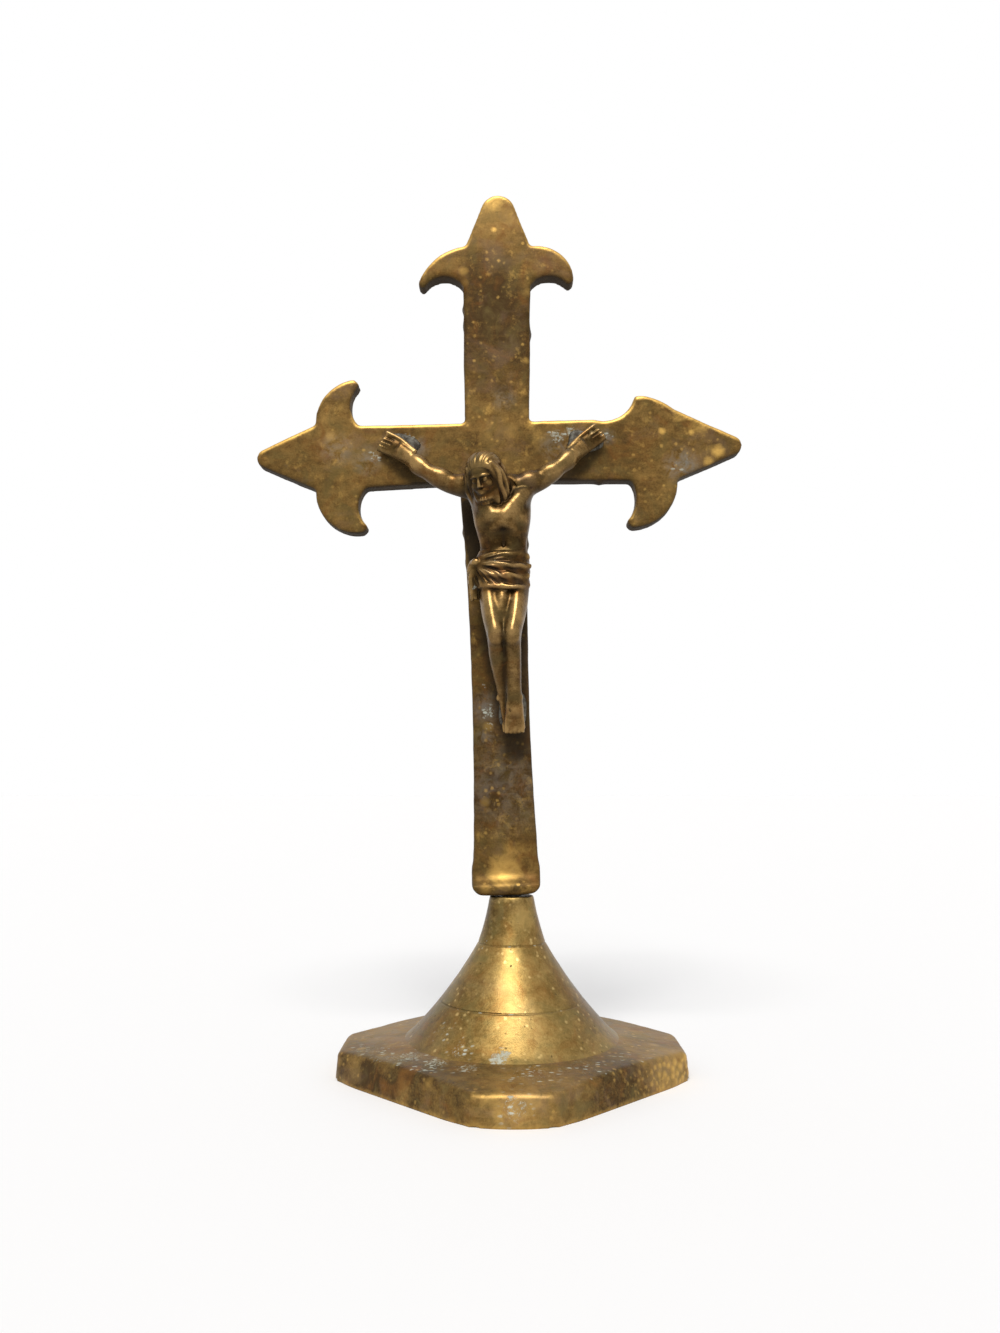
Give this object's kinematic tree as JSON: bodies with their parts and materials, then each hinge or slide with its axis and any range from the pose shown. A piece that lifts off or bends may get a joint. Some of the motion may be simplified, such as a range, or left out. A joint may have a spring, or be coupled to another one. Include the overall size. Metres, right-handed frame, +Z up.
{
  "type": "table crucifix",
  "caption": "Standing brass crucifix: a cast cross with barbed ends and a cast figure, turning on a stud in a trumpet stem above a hollow cut-corner base.",
  "frame": {"origin": "middle of the base rim, on the surface that the crucifix stands on", "axes": "+Z up along the stem, -Y out of the front of the cross, +X to the viewer's right"},
  "size_m": [0.1283, 0.0864, 0.2299],
  "materials": {
    "cast_brass": "aged, brown patina with worn golden edges",
    "turned_brass": "aged, satin, warmer than the castings",
    "figure_brass": "aged, dark in the hollows and bright where it is rubbed",
    "solder": "dull grey soft solder, stands in for lead and tin",
    "steel": "dull, darkened"
  },
  "bodies": {
    "base": {"base_plate": "cast_brass", "stem": "turned_brass", "clamp_washer": "steel"},
    "turning_cross": {"cross": "cast_brass", "tie_rod": "steel", "clamp_nut": "steel", "corpus": "figure_brass", "left_hand_pin": "turned_brass", "right_hand_pin": "turned_brass", "foot_pin": "turned_brass", "left_hand_solder": "solder", "right_hand_solder": "solder", "foot_solder": "solder"}
  },
  "joints": [
    {"name": "cross_swivel", "type": "hinge", "parent": "base", "child": "turning_cross", "pos_m": [0, 0, 0.0428], "axis": [0, 0, 1], "continuous": true}
  ]
}
